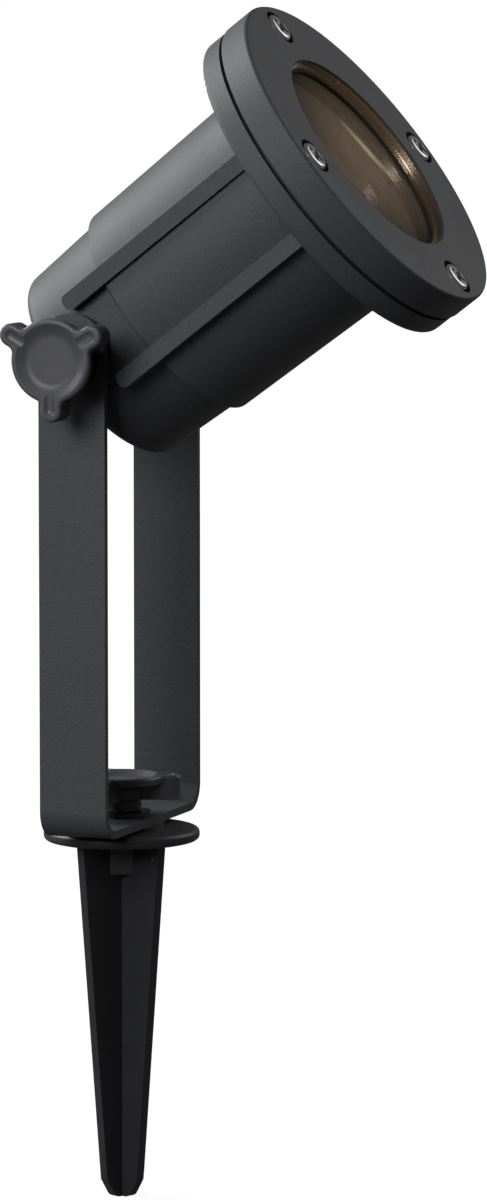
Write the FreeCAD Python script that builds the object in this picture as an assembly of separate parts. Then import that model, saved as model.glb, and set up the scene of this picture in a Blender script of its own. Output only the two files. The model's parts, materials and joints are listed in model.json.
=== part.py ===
import FreeCAD, Part
import math
import os

# Garden spike spotlight for one GU10 lamp, in millimetres, +Z up.
# The origin is the centre of the spike flange's underside, where it meets the ground.
# The lamp head aims towards +X and tilts on an axis along Y between the legs of a U strap.
# The head's pieces are drawn about the head's own axis: there Z is the way the light
# points, Y is the tilt axis, X points down and forwards, and Z = 0 is the tilt axis.

V = FreeCAD.Vector
ORIGIN = V(0, 0, 0)
X_AXIS = V(1, 0, 0)
Y_AXIS = V(0, 1, 0)
Z_AXIS = V(0, 0, 1)

# ---- clearances -------------------------------------------------------------
running_gap = 0.06          # a shaft that turns in its hole, on the radius
thread_gap = 0.05           # a thread drawn as a plain pin in a plain hole, on the radius
insert_gap = 0.02           # a metal part moulded into plastic, on the radius
assembly_gap = 0.2          # a part dropped into its seat, on the radius

# ---- whole lamp -------------------------------------------------------------
aim_angle = 37.4            # head axis above the horizon, as stored
pivot_height = 124.2        # tilt axis above the ground

# ---- ground spike -----------------------------------------------------------
flange_radius = 19.8
flange_thickness = 3.0
flange_edge = 1.2
pad_radius = 11.0
pad_height = 1.1
spike_length = 91.9
spike_turn = -24.2          # the cross of blades about the spike's axis
blade_thickness = 2.4
blade_reach_top = 14.6
blade_reach_low = 6.5
blade_straight = 87.0       # straight part of a blade's edge, down from the ground
blade_tip_reach = 3.4
blade_tip_round = 2.6
blade_corner_round = 1.5
bolt_block_side = 9.2
bolt_block_height = 8.9
bolt_block_edge = 0.9

# ---- M5 fasteners -----------------------------------------------------------
m5_radius = 2.5
m5_head_flats = 8.0
m5_head_height = 3.4
bolt_head_cover = 1.1       # plastic below the captured bolt head

# ---- U strap ----------------------------------------------------------------
strap_inside = 60.8
strap_thickness = 2.0
strap_width = 17.6
strap_bend = 4.8            # inside bend radius
strap_top = 10.8            # leg end above the tilt axis
strap_end_radius = 8.5

# ---- clamping knobs ---------------------------------------------------------
knob_radius = 10.4
knob_rim = 2.0              # thickness of the disc at its rim
knob_wing = 6.2             # depth of the lobes, from the top face down
knob_hub_radius = 6.0
knob_hub_flare = 8.8        # where the cone under the dish meets the disc
knob_collar_radius = 5.0
knob_collar = 3.1
knob_top_edge = 0.9
knob_collar_edge = 0.4
knob_hub_edge = 0.5
lobe_count = 3
lobe_tip = 15.1
lobe_half_width = 2.8
lobe_blend = 1.7
lobe_groove_radius = 2.2
lobe_groove_depth = 0.6
lobe_groove_lap = 1.0       # groove's start, inside the dish's edge
lobe_groove_end = 12.0
dish_radius = 9.1
dish_floor_radius = 6.6
dish_depth = 1.5
dish_corner = 3.4
knob_screw_cover = 2.0      # plastic left between the dish and the metal inside
insert_radius = 3.7
bolt_end_gap = 0.6          # bolt and stud ends, short of the bottom of their holes
stud_head_radius = 4.0
stud_head_height = 1.6
washer_radius = 7.4
washer_thickness = 1.2
spring_washer_radius = 4.6
spring_washer_thickness = 1.3
spring_washer_slit = 0.9
spring_washer_turn = 65.0
spacer_radius = 5.0
spacer_length = 1.9
base_knob_turn = 20.8

# ---- lamp housing -----------------------------------------------------------
housing_back = -8.3         # back face, measured from the tilt axis
back_radius = 27.2
back_edge = 3.6
step_at = 16.6              # where the slimmer back part ends
step_back_radius = 28.6
step_front_radius = 30.25
step_edge = 0.7
body_front_radius = 31.75
housing_flange_back = 68.0
housing_flange_front = 73.8
housing_flange_edge = 1.1
flange_fillet = 1.6
wall = 3.0
floor_thickness = 3.0
cavity_edge = 2.0
rib_inner = 9.7             # rib sides, measured across from the tilt axis
rib_outer = 13.9
rib_face_back = 29.8        # rib face at its back end, from the head's middle plane
rib_face_front = 31.2       # and where it meets the flange
rib_back = 5.3
rib_end_round = 1.6
boss_radius = 8.2
boss_face = 29.4
boss_inside_radius = 6.5
boss_inside_reach = 18.6
stud_hole_bottom = 20.4
friction_washer_radius = 7.6

# ---- front bezel, glass and seals --------------------------------------------
bezel_thickness = 8.2
bezel_edge = 0.9
bezel_back_edge = 0.3
bezel_overhang = 0.3        # bezel beyond the housing flange, on the radius
opening_edge = 0.5
opening_step_depth = 2.4
opening_step = 0.6
seal_thickness = 1.0        # flat seal between the bezel and the housing flange
seal_clear = 1.3            # seal's inner edge, outside the glass seat
seal_margin = 1.6           # seal's outer edge, inside the flange's
glass_radius = 33.5
glass_thickness = 4.0
glass_edge = 0.4
glass_lap = 6.1             # bezel lip over the glass's edge
front_ring_thickness = 0.8  # black ring between the bezel lip and the glass
ring_lip_gap = 0.3          # front ring's inner edge, inside the bezel lip's
rear_ring_width = 5.0
rear_ring_thickness = 1.0
flange_land = 11.0          # housing flange from the glass seat out to its edge
screw_land = 4.5            # screw circle, outside the glass seat
bezel_screw_count = 4
m4_radius = 2.0
m4_head_radius = 4.0
m4_head_height = 2.9
m4_head_edge = 0.9
m4_length = 10.0            # under the head
tapped_depth = 0.4          # thread hole below the screw's end
counterbore_radius = 4.9
counterbore_depth = 2.4

# ---- GU10 lamp --------------------------------------------------------------
lamp_front = 69.4
lamp_radius = 25.0
lamp_rim_height = 3.2
lamp_wall = 1.3
lamp_neck_radius = 12.0
lamp_bowl_depth = 29.0
lamp_cover_thickness = 1.4
lamp_cover_gap = 0.1
lamp_cover_sink = 0.4
lamp_rim_step = 0.4
lamp_base_top = 38.0
lamp_base_radius = 13.2
lamp_base_low_radius = 11.6
lamp_base_bottom = 21.0
capsule_radius = 4.6
capsule_length = 17.0
capsule_tip_round = 4.2
pin_spacing = 10.0
pin_neck_radius = 1.6
pin_head_radius = 2.5
pin_head_height = 2.2
pin_length = 7.0

# ---- lamp holder and its carrier --------------------------------------------
holder_radius = 13.5
holder_top = 20.7
holder_socket_depth = 8.4
holder_screw_offset = 9.0
m3_radius = 1.5
m3_head_radius = 2.7
m3_head_height = 1.9
m3_head_edge = 0.7
holder_screw_recess = 3.0
plate_top = 8.4
plate_thickness = 1.2
plate_half_length = 21.6
plate_half_width = 11.5
plate_wire_hole = 6.2
plate_corner = 3.0
plate_ear_round = 1.5
plate_inner_round = 1.0
post_offset = 17.6
post_radius = 3.5
plate_screw_length = 7.0
holder_screw_end = 1.0      # holder screw's end, below the plate

# ---- terminal block, earth screw and cable gland ----------------------------
terminal_length = 18.0
terminal_width = 7.8
terminal_height = 11.4
terminal_edge = 0.6
terminal_offset = 14.1
terminal_ways = 3
terminal_wire_radius = 1.6
terminal_wire_height = 5.6  # above the housing floor
terminal_screw_seat = 7.4   # above the housing floor
terminal_screw_radius = 1.4
terminal_screw_height = 2.4
earth_offset = 14.2
earth_head_radius = 3.4
earth_head_height = 2.4
earth_length = 2.4
earth_tag_radius = 3.9
earth_tag_thickness = 0.8
earth_pad_height = 1.6
earth_hole_gap = 0.6
gland_thread_radius = 6.0
gland_bore_radius = 3.6
gland_flats = 14.0
gland_hex_height = 3.6
gland_neck_length = 5.6
gland_cap_gap = 0.3
gland_cap_length = 8.2
gland_cap_dome = 2.6
gland_nut_flats = 15.0
gland_nut_height = 3.2
gland_thread_end = 0.6      # thread beyond the nut
gland_seal_wall = 1.7
gland_seal_length = 5.0
gland_seal_gap = 0.05
lead_radius = 0.9
lead_offset = 3.4
lead_setback = 3.6
lead_end = 2.5              # lead's end, inside its terminal
lead_bend = 4.0

# ---- sizes that follow from the ones above ----------------------------------
strap_bottom = flange_thickness + pad_height
strap_floor = strap_bottom + strap_thickness
leg_inside = strap_inside / 2
leg_outside = leg_inside + strap_thickness
knob_height = knob_collar + knob_wing
lobe_groove_start = dish_radius - lobe_groove_lap
seal_front = housing_flange_front + seal_thickness
bezel_front = seal_front + bezel_thickness
glass_seat_radius = glass_radius + assembly_gap
housing_flange_radius = glass_seat_radius + flange_land
bezel_radius = housing_flange_radius + bezel_overhang
screw_circle = glass_seat_radius + screw_land
seal_inner_radius = glass_seat_radius + seal_clear
seal_outer_radius = housing_flange_radius - seal_margin
glass_back = housing_flange_front + rear_ring_thickness
glass_front = glass_back + glass_thickness
glass_seat = glass_front + front_ring_thickness
lip_radius = glass_radius - glass_lap
opening_radius = lip_radius + opening_step
ring_inner_radius = lip_radius - ring_lip_gap
screw_seat = bezel_front - counterbore_depth
screw_bottom = screw_seat - m4_length
lamp_rim_radius = lamp_radius - lamp_rim_step
lamp_rim_low = lamp_front - lamp_rim_height
lamp_neck_low = lamp_rim_low - lamp_bowl_depth
floor_inside = housing_back + floor_thickness
gland_hex_low = housing_back - gland_hex_height
gland_neck_low = gland_hex_low - gland_neck_length
gland_cap_top = gland_hex_low - gland_cap_gap
gland_cap_low = gland_cap_top - gland_cap_length
gland_thread_top = floor_inside + gland_nut_height + gland_thread_end
plate_bottom = plate_top - plate_thickness
base_knob_floor = strap_floor + washer_thickness
spacer_floor = leg_outside + washer_thickness + spring_washer_thickness
tilt_knob_floor = spacer_floor + spacer_length
knob_metal_top = knob_height - dish_depth - knob_screw_cover
knob_disc_low = knob_height - knob_rim


# ---- drawing helpers ---------------------------------------------------------
def in_xz(a, b):
    return V(a, 0, b)


def in_yz(a, b):
    return V(0, a, b)


def in_xy(a, b):
    return V(a, b, 0)


def rounded_face(corners, place):
    """A face whose outline runs through (a, b, radius) corners, each rounded by its radius."""
    points = [place(a, b) for a, b, radius in corners]
    count = len(points)
    spans = []
    for i, (a, b, radius) in enumerate(corners):
        here = points[i]
        back = (points[i - 1] - here).normalize()
        ahead = (points[(i + 1) % count] - here).normalize()
        if radius == 0:
            spans.append((here, None, here))
            continue
        half = back.getAngle(ahead) / 2
        reach = radius / math.tan(half)
        middle = (back + ahead).normalize()
        top = here + middle * (radius / math.sin(half) - radius)
        spans.append((here + back * reach, top, here + ahead * reach))
    edges = []
    for i, (start, top, end) in enumerate(spans):
        if top is not None:
            edges.append(Part.Arc(start, top, end).toShape())
        following = spans[(i + 1) % count][0]
        if end.distanceToPoint(following) > 1e-6:
            edges.append(Part.LineSegment(end, following).toShape())
    return Part.Face(Part.Wire(edges))


def turned(corners):
    """A solid of revolution about Z from (radius, height, corner radius) points."""
    return rounded_face(corners, in_xz).revolve(ORIGIN, Z_AXIS, 360)


def cylinder(radius, low, high, at=(0, 0)):
    return Part.makeCylinder(radius, high - low, V(at[0], at[1], low), Z_AXIS)


def ring(inner, outer, low, high, at=(0, 0)):
    return cylinder(outer, low, high, at).cut(cylinder(inner, low - 1, high + 1, at))


def hexagon(flats, low, high):
    corner = flats / math.sqrt(3)
    turns = [math.radians(60 * i) for i in range(6)]
    points = [V(corner * math.cos(t), corner * math.sin(t), low) for t in turns]
    outline = Part.makePolygon(points + points[:1])
    return Part.Face(outline).extrude(V(0, 0, high - low))


def slab(face, depth):
    """A face extruded along its normal axis by depth, half to each side of where it lies."""
    normal = face.normalAt(0, 0)
    solid = face.extrude(normal * depth)
    solid.translate(normal * (-depth / 2))
    return solid


def around(shape, count, first=0.0):
    """Copies of a shape spaced evenly about Z."""
    copies = []
    for i in range(count):
        copy = shape.copy()
        copy.rotate(ORIGIN, Z_AXIS, first + i * 360.0 / count)
        copies.append(copy)
    return copies


def in_head(shape):
    """Moves a piece drawn about the head's axis to where the stored head is."""
    placed = shape.copy()
    placed.rotate(ORIGIN, Y_AXIS, 90 - aim_angle)
    placed.translate(V(0, 0, pivot_height))
    return placed


def on_side(shape, side, start):
    """Lays a piece drawn up Z along the tilt axis: side is -1 for near and 1 for far."""
    placed = shape.copy()
    placed.rotate(ORIGIN, X_AXIS, -90 * side)
    placed.translate(V(0, side * start, pivot_height))
    return placed


# ---- ground spike and its bolt ------------------------------------------------
def blade():
    """One of the four blades, from the spike's axis out to +X."""
    outline = [
        (0, 0, 0),
        (0, -spike_length, 0),
        (blade_tip_reach, -spike_length, blade_tip_round),
        (blade_reach_low, -blade_straight, blade_corner_round),
        (blade_reach_top, 0, 0),
    ]
    return slab(rounded_face(outline, in_xz), blade_thickness)


def ground_spike():
    flange = turned([
        (0, 0, 0),
        (flange_radius, 0, flange_edge),
        (flange_radius, flange_thickness, flange_edge),
        (pad_radius, flange_thickness, 0),
        (pad_radius, strap_bottom, 0),
        (0, strap_bottom, 0),
    ])
    half = bolt_block_side / 2
    block_outline = [
        (-half, -half, bolt_block_edge),
        (half, -half, bolt_block_edge),
        (half, half, bolt_block_edge),
        (-half, half, bolt_block_edge),
    ]
    block = rounded_face(block_outline, in_xy).extrude(V(0, 0, -bolt_block_height))
    low_edges = [e for e in block.Edges if e.BoundBox.ZMax < 1e-4 - bolt_block_height]
    block = block.makeFillet(bolt_block_edge, low_edges)
    block.rotate(ORIGIN, Z_AXIS, 45)
    spike = flange.fuse([block] + around(blade(), 4)).removeSplitter()
    spike = spike.cut(spike_bolt_shape(insert_gap))
    spike.rotate(ORIGIN, Z_AXIS, spike_turn)
    return spike


def spike_bolt_shape(extra=0.0):
    head_low = bolt_head_cover - bolt_block_height
    head = hexagon(m5_head_flats + 2 * extra, head_low, head_low + m5_head_height)
    top = base_knob_floor + knob_metal_top - bolt_end_gap
    return head.fuse(cylinder(m5_radius + extra, head_low, top)).removeSplitter()


def spike_bolt():
    bolt = spike_bolt_shape()
    bolt.rotate(ORIGIN, Z_AXIS, spike_turn)
    return bolt


# ---- U strap --------------------------------------------------------------------
def u_bracket():
    top = pivot_height + strap_top
    bend_out = strap_bend + strap_thickness
    section = [
        (-leg_outside, top, 0),
        (-leg_outside, strap_bottom, bend_out),
        (leg_outside, strap_bottom, bend_out),
        (leg_outside, top, 0),
        (leg_inside, top, 0),
        (leg_inside, strap_floor, strap_bend),
        (-leg_inside, strap_floor, strap_bend),
        (-leg_inside, top, 0),
    ]
    strap = slab(rounded_face(section, in_yz), strap_width)
    half = strap_width / 2
    side_view = [
        (-half, 0, 0),
        (half, 0, 0),
        (half, top, strap_end_radius),
        (-half, top, strap_end_radius),
    ]
    rounded_ends = slab(rounded_face(side_view, in_xz), 2 * leg_outside + 2)
    strap = strap.common(rounded_ends)
    hole = m5_radius + running_gap
    base_hole = cylinder(hole, 0, strap_floor + 1)
    pivot_hole = Part.makeCylinder(hole, 2 * leg_outside + 2, V(0, -leg_outside - 1, pivot_height), Y_AXIS)
    return strap.cut([base_hole, pivot_hole])


# ---- knobs, washers and their metal ---------------------------------------------
def knob_outline():
    """A disc with blended lobes, as one wire of lines and tangent arcs."""
    across = lobe_half_width + lobe_blend
    along = math.sqrt((knob_radius + lobe_blend) ** 2 - across ** 2)
    on_disc = knob_radius / (knob_radius + lobe_blend)
    blend_angle = math.atan2(across, along)
    tip_centre = lobe_tip - lobe_half_width
    middle_turn = blend_angle / 2 + math.pi / 4
    edges = []
    for i in range(lobe_count):
        turn = 2 * math.pi * i / lobe_count

        def at(a, b, turn=turn):
            return V(a * math.cos(turn) - b * math.sin(turn), a * math.sin(turn) + b * math.cos(turn), 0)

        def blend_middle(side):
            return (along - lobe_blend * math.cos(middle_turn),
                    side * (across - lobe_blend * math.sin(middle_turn)))

        low_disc = at(along * on_disc, -across * on_disc)
        low_line = at(along, -lobe_half_width)
        low_tip = at(tip_centre, -lobe_half_width)
        high_tip = at(tip_centre, lobe_half_width)
        high_line = at(along, lobe_half_width)
        high_disc = at(along * on_disc, across * on_disc)
        edges.append(Part.Arc(low_disc, at(*blend_middle(-1)), low_line).toShape())
        edges.append(Part.LineSegment(low_line, low_tip).toShape())
        edges.append(Part.Arc(low_tip, at(lobe_tip, 0), high_tip).toShape())
        edges.append(Part.LineSegment(high_tip, high_line).toShape())
        edges.append(Part.Arc(high_line, at(*blend_middle(1)), high_disc).toShape())
        half_gap = math.pi / lobe_count
        middle = at(knob_radius * math.cos(half_gap), knob_radius * math.sin(half_gap))
        end_turn = 2 * half_gap - blend_angle
        end = at(knob_radius * math.cos(end_turn), knob_radius * math.sin(end_turn))
        edges.append(Part.Arc(high_disc, middle, end).toShape())
    return Part.Wire(edges)


def knob_body():
    """The knob with its collar down at Z = 0, without its bore."""
    outline = knob_outline()
    outline.translate(V(0, 0, knob_disc_low))
    disc = Part.Face(outline).extrude(V(0, 0, knob_rim))
    half = lobe_half_width
    wing_outline = [(0, -half, 0), (lobe_tip, -half, half), (lobe_tip, half, half), (0, half, 0)]
    wing = rounded_face(wing_outline, in_xy).extrude(V(0, 0, knob_wing))
    wing.translate(V(0, 0, knob_collar))
    body = disc.fuse(around(wing, lobe_count)).removeSplitter()
    top_edges = [e for e in body.Edges if e.BoundBox.ZMin > knob_height - 1e-4]
    body = body.makeFillet(knob_top_edge, top_edges)
    hub = turned([
        (0, 0, 0),
        (knob_collar_radius, 0, knob_collar_edge),
        (knob_collar_radius, knob_collar, 0),
        (knob_hub_radius, knob_collar, knob_hub_edge),
        (knob_hub_radius, knob_disc_low - dish_depth, 0),
        (knob_hub_flare, knob_disc_low, 0),
        (0, knob_disc_low, 0),
    ])
    dish = turned([
        (0, knob_height - dish_depth, 0),
        (dish_floor_radius, knob_height - dish_depth, dish_corner),
        (dish_radius, knob_height, 0),
        (dish_radius, knob_height + 1, 0),
        (0, knob_height + 1, 0),
    ])
    lift = knob_height + lobe_groove_radius - lobe_groove_depth
    groove = Part.makeCylinder(lobe_groove_radius, lobe_groove_end - lobe_groove_start,
                               V(lobe_groove_start, 0, lift), X_AXIS)
    ends = [Part.makeSphere(lobe_groove_radius, V(x, 0, lift)) for x in (lobe_groove_start, lobe_groove_end)]
    groove = groove.fuse(ends)
    return body.fuse(hub).cut([dish] + around(groove, lobe_count))


def base_knob():
    hole = cylinder(insert_radius + insert_gap, -1, knob_metal_top)
    knob = knob_body().cut(hole)
    knob.rotate(ORIGIN, Z_AXIS, base_knob_turn)
    knob.translate(V(0, 0, base_knob_floor))
    return knob


def base_knob_insert():
    insert = ring(m5_radius + thread_gap, insert_radius, 0, knob_metal_top)
    insert.translate(V(0, 0, base_knob_floor))
    return insert


def base_washer():
    return ring(m5_radius + assembly_gap, washer_radius, strap_floor, base_knob_floor)


def stud_shape(extra=0.0):
    """The M5 stud of a tilt knob: it stands out below the collar at Z = 0."""
    thread = cylinder(m5_radius + extra, stud_hole_bottom + bolt_end_gap - tilt_knob_floor, knob_metal_top)
    head = cylinder(stud_head_radius + extra, knob_metal_top - stud_head_height, knob_metal_top)
    return thread.fuse(head).removeSplitter()


def tilt_knob(side):
    knob = knob_body().cut(stud_shape(insert_gap))
    knob.rotate(ORIGIN, Z_AXIS, 90 * side)
    return on_side(knob, side, tilt_knob_floor)


def tilt_stud(side):
    return on_side(stud_shape(), side, tilt_knob_floor)


def tilt_washer(side):
    washer = ring(m5_radius + assembly_gap, washer_radius, 0, washer_thickness)
    return on_side(washer, side, leg_outside)


def spring_washer(side):
    washer = ring(m5_radius + assembly_gap, spring_washer_radius, 0, spring_washer_thickness)
    slit = Part.makeBox(washer_radius, spring_washer_slit, spring_washer_thickness + 2,
                        V(0, -spring_washer_slit / 2, -1))
    slit.rotate(ORIGIN, Z_AXIS, spring_washer_turn)
    return on_side(washer.cut(slit), side, leg_outside + washer_thickness)


def spacer(side):
    bush = ring(m5_radius + assembly_gap, spacer_radius, 0, spacer_length)
    return on_side(bush, side, spacer_floor)


def friction_washer(side):
    washer = ring(m5_radius + assembly_gap, friction_washer_radius, 0, leg_inside - boss_face)
    return on_side(washer, side, boss_face)


# ---- die-cast housing ------------------------------------------------------------
def housing_outside():
    return turned([
        (0, housing_back, 0),
        (back_radius, housing_back, back_edge),
        (step_back_radius, step_at, 0),
        (step_front_radius, step_at, step_edge),
        (body_front_radius, housing_flange_back, flange_fillet),
        (housing_flange_radius, housing_flange_back, housing_flange_edge),
        (housing_flange_radius, housing_flange_front, 0),
        (0, housing_flange_front, 0),
    ])


def housing_cavity():
    """The hollow inside the housing, with the wall as thick all along."""
    return turned([
        (0, floor_inside, 0),
        (back_radius - wall, floor_inside, cavity_edge),
        (step_back_radius - wall, step_at - wall, 0),
        (step_front_radius - wall, step_at, 0),
        (body_front_radius - wall, housing_flange_front, 0),
        (body_front_radius - wall, housing_flange_front + 1, 0),
        (0, housing_flange_front + 1, 0),
    ])


def ribs():
    """Four bars along the head, two at each side, whose flat faces spread with the body's taper."""
    bars = []
    side_view = [
        (0, rib_back, 0),
        (rib_face_back, rib_back, 0),
        (rib_face_front, housing_flange_back, 0),
        (rib_face_front, housing_flange_back + 1, 0),
        (0, housing_flange_back + 1, 0),
    ]
    for side in (-1, 1):
        for across in (-1, 1):
            inner, outer = across * rib_inner, across * rib_outer
            front_view = [
                (inner, rib_back, rib_end_round),
                (outer, rib_back, rib_end_round),
                (outer, housing_flange_back + 1, 0),
                (inner, housing_flange_back + 1, 0),
            ]
            bar = slab(rounded_face(front_view, in_xz), 2 * rib_face_front)
            wedge = slab(rounded_face([(side * a, b, r) for a, b, r in side_view], in_yz), 2 * rib_outer + 2)
            bars.append(bar.common(wedge))
    return bars


def lamp_housing():
    solid = housing_outside().fuse(ribs())
    boss = Part.makeCylinder(boss_radius, 2 * boss_face, V(0, -boss_face, 0), Y_AXIS)
    solid = solid.fuse(boss)
    hollow = housing_cavity()
    kept = []
    for side in (-1, 1):
        start = V(0, side * boss_inside_reach, 0)
        kept.append(Part.makeCylinder(boss_inside_radius, back_radius - boss_inside_reach, start, V(0, side, 0)))
    for side in (-1, 1):
        kept.append(cylinder(post_radius, floor_inside - 1, plate_bottom, (side * post_offset, 0)))
    kept.append(cylinder(earth_tag_radius, floor_inside - 1, floor_inside + earth_pad_height, (0, -earth_offset)))
    solid = solid.cut(hollow.cut(kept))
    holes = [cylinder(gland_thread_radius + thread_gap, housing_back - 1, floor_inside + 1)]
    for side in (-1, 1):
        start = V(0, side * stud_hole_bottom, 0)
        holes.append(Part.makeCylinder(m5_radius + thread_gap, boss_face, start, V(0, side, 0)))
        low = plate_top - plate_screw_length
        holes.append(cylinder(m3_radius + thread_gap, low, plate_top, (side * post_offset, 0)))
    low = floor_inside + earth_pad_height + earth_tag_thickness - earth_length - earth_hole_gap
    holes.append(cylinder(m4_radius + thread_gap, low, plate_bottom, (0, -earth_offset)))
    tapped = cylinder(m4_radius + thread_gap, screw_bottom - tapped_depth, housing_flange_front + 1, (0, screw_circle))
    holes += around(tapped, bezel_screw_count)
    return in_head(solid.cut(holes))


# ---- front bezel, glass, seals and screws ----------------------------------------
def front_bezel():
    body = turned([
        (opening_radius, bezel_front, opening_edge),
        (bezel_radius, bezel_front, bezel_edge),
        (bezel_radius, seal_front, bezel_back_edge),
        (glass_seat_radius, seal_front, 0),
        (glass_seat_radius, glass_seat, 0),
        (lip_radius, glass_seat, 0),
        (lip_radius, bezel_front - opening_step_depth, 0),
        (opening_radius, bezel_front - opening_step_depth, 0),
    ])
    through = cylinder(m4_radius + assembly_gap, seal_front - 1, bezel_front, (0, screw_circle))
    seat = cylinder(counterbore_radius, screw_seat, bezel_front + 1, (0, screw_circle))
    return in_head(body.cut(around(through, bezel_screw_count) + around(seat, bezel_screw_count)))


def bezel_screws():
    top = screw_seat + m4_head_height
    screw = turned([
        (0, screw_bottom, 0),
        (m4_radius, screw_bottom, 0),
        (m4_radius, screw_seat, 0),
        (m4_head_radius, screw_seat, 0),
        (m4_head_radius, top, m4_head_edge),
        (0, top, 0),
    ])
    screw.translate(V(0, screw_circle, 0))
    return in_head(Part.makeCompound(around(screw, bezel_screw_count)))


def front_glass():
    return in_head(turned([
        (0, glass_back, 0),
        (glass_radius, glass_back, glass_edge),
        (glass_radius, glass_front, glass_edge),
        (0, glass_front, 0),
    ]))


def glass_front_ring():
    return in_head(ring(ring_inner_radius, glass_radius, glass_front, glass_seat))


def glass_rear_ring():
    outer = glass_radius
    return in_head(ring(outer - rear_ring_width, outer, housing_flange_front, glass_back))


def flange_seal():
    seal = ring(seal_inner_radius, seal_outer_radius, housing_flange_front, seal_front)
    hole = cylinder(m4_radius + assembly_gap, housing_flange_front - 1, seal_front + 1, (0, screw_circle))
    return in_head(seal.cut(around(hole, bezel_screw_count)))


# ---- GU10 lamp --------------------------------------------------------------------
def bowl_height(radius, inset):
    """Height of the reflector's parabola at a radius; inset moves it inwards."""
    spread = lamp_rim_radius ** 2 - lamp_neck_radius ** 2
    return lamp_neck_low + ((radius + inset) ** 2 - lamp_neck_radius ** 2) / spread * lamp_bowl_depth


def lamp_reflector():
    rim = lamp_rim_radius
    rim_low = lamp_rim_low
    neck = lamp_neck_radius
    mid = (rim + neck) / 2
    neck_in = neck - lamp_wall
    rim_in = rim - lamp_wall
    mid_in = (rim_in + neck_in) / 2
    outer_arc = Part.Arc(V(neck, 0, bowl_height(neck, 0)), V(mid, 0, bowl_height(mid, 0)), V(rim, 0, rim_low))
    inner_arc = Part.Arc(V(rim_in, 0, rim_low), V(mid_in, 0, bowl_height(mid_in, lamp_wall)),
                         V(neck_in, 0, bowl_height(neck, 0)))
    path = [V(rim, 0, rim_low), V(lamp_radius, 0, rim_low), V(lamp_radius, 0, lamp_front),
            V(rim_in, 0, lamp_front), V(rim_in, 0, rim_low)]
    edges = [outer_arc.toShape()]
    edges += [Part.LineSegment(a, b).toShape() for a, b in zip(path, path[1:])]
    edges.append(inner_arc.toShape())
    edges.append(Part.LineSegment(V(neck_in, 0, bowl_height(neck, 0)), V(neck, 0, bowl_height(neck, 0))).toShape())
    return in_head(Part.Face(Part.Wire(edges)).revolve(ORIGIN, Z_AXIS, 360))


def lamp_cover():
    radius = lamp_rim_radius - lamp_wall - lamp_cover_gap
    top = lamp_front - lamp_cover_sink
    return in_head(cylinder(radius, top - lamp_cover_thickness, top))


def lamp_capsule():
    low = lamp_base_top
    top = low + capsule_length
    return in_head(turned([
        (0, low, 0),
        (capsule_radius, low, 0),
        (capsule_radius, top, capsule_tip_round),
        (0, top, 0),
    ]))


def lamp_base():
    return in_head(turned([
        (0, lamp_base_bottom, 0),
        (lamp_base_low_radius, lamp_base_bottom, 0),
        (lamp_base_radius, lamp_neck_low, 0),
        (lamp_neck_radius - lamp_wall, lamp_neck_low, 0),
        (lamp_neck_radius - lamp_wall, lamp_base_top, 0),
        (0, lamp_base_top, 0),
    ]))


def lamp_pins():
    tip = lamp_base_bottom - pin_length
    pin = turned([
        (0, tip, 0),
        (pin_head_radius, tip, 0),
        (pin_head_radius, tip + pin_head_height, 0),
        (pin_neck_radius, tip + pin_head_height, 0),
        (pin_neck_radius, lamp_base_bottom, 0),
        (0, lamp_base_bottom, 0),
    ])
    pin.translate(V(pin_spacing / 2, 0, 0))
    return in_head(Part.makeCompound(around(pin, 2)))


# ---- lamp holder, carrier plate and screws ----------------------------------------
def lamp_holder():
    body = cylinder(holder_radius, plate_top, holder_top)
    socket = cylinder(pin_head_radius + assembly_gap, holder_top - holder_socket_depth, holder_top + 1,
                      (pin_spacing / 2, 0))
    shank = cylinder(m3_radius + assembly_gap, plate_top - 1, holder_top, (0, holder_screw_offset))
    recess = cylinder(m3_head_radius + assembly_gap, holder_top - holder_screw_recess, holder_top + 1,
                      (0, holder_screw_offset))
    return in_head(body.cut(around(socket, 2) + around(shank, 2) + around(recess, 2)))


def small_screw(seat, bottom, at):
    """An M3 pan-head screw with its head standing on seat."""
    screw = turned([
        (0, bottom, 0),
        (m3_radius, bottom, 0),
        (m3_radius, seat, 0),
        (m3_head_radius, seat, 0),
        (m3_head_radius, seat + m3_head_height, m3_head_edge),
        (0, seat + m3_head_height, 0),
    ])
    screw.translate(V(at[0], at[1], 0))
    return screw


def holder_screws():
    screw = small_screw(holder_top - holder_screw_recess, plate_bottom - holder_screw_end, (0, holder_screw_offset))
    return in_head(Part.makeCompound(around(screw, 2)))


def holder_plate():
    outline = [
        (-plate_half_length, -post_radius, plate_ear_round),
        (-plate_half_width, -post_radius, plate_inner_round),
        (-plate_half_width, -plate_half_width, plate_corner),
        (plate_half_width, -plate_half_width, plate_corner),
        (plate_half_width, -post_radius, plate_inner_round),
        (plate_half_length, -post_radius, plate_ear_round),
        (plate_half_length, post_radius, plate_ear_round),
        (plate_half_width, post_radius, plate_inner_round),
        (plate_half_width, plate_half_width, plate_corner),
        (-plate_half_width, plate_half_width, plate_corner),
        (-plate_half_width, post_radius, plate_inner_round),
        (-plate_half_length, post_radius, plate_ear_round),
    ]
    plate = rounded_face(outline, in_xy).extrude(V(0, 0, plate_thickness))
    plate.translate(V(0, 0, plate_bottom))
    post_hole = cylinder(m3_radius + assembly_gap, plate_bottom - 1, plate_top + 1, (post_offset, 0))
    holder_hole = cylinder(m3_radius + thread_gap, plate_bottom - 1, plate_top + 1, (0, holder_screw_offset))
    wires = cylinder(plate_wire_hole, plate_bottom - 1, plate_top + 1)
    return in_head(plate.cut([wires] + around(post_hole, 2) + around(holder_hole, 2)))


def plate_screws():
    screw = small_screw(plate_top, plate_top - plate_screw_length + tapped_depth, (post_offset, 0))
    return in_head(Part.makeCompound(around(screw, 2)))


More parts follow.
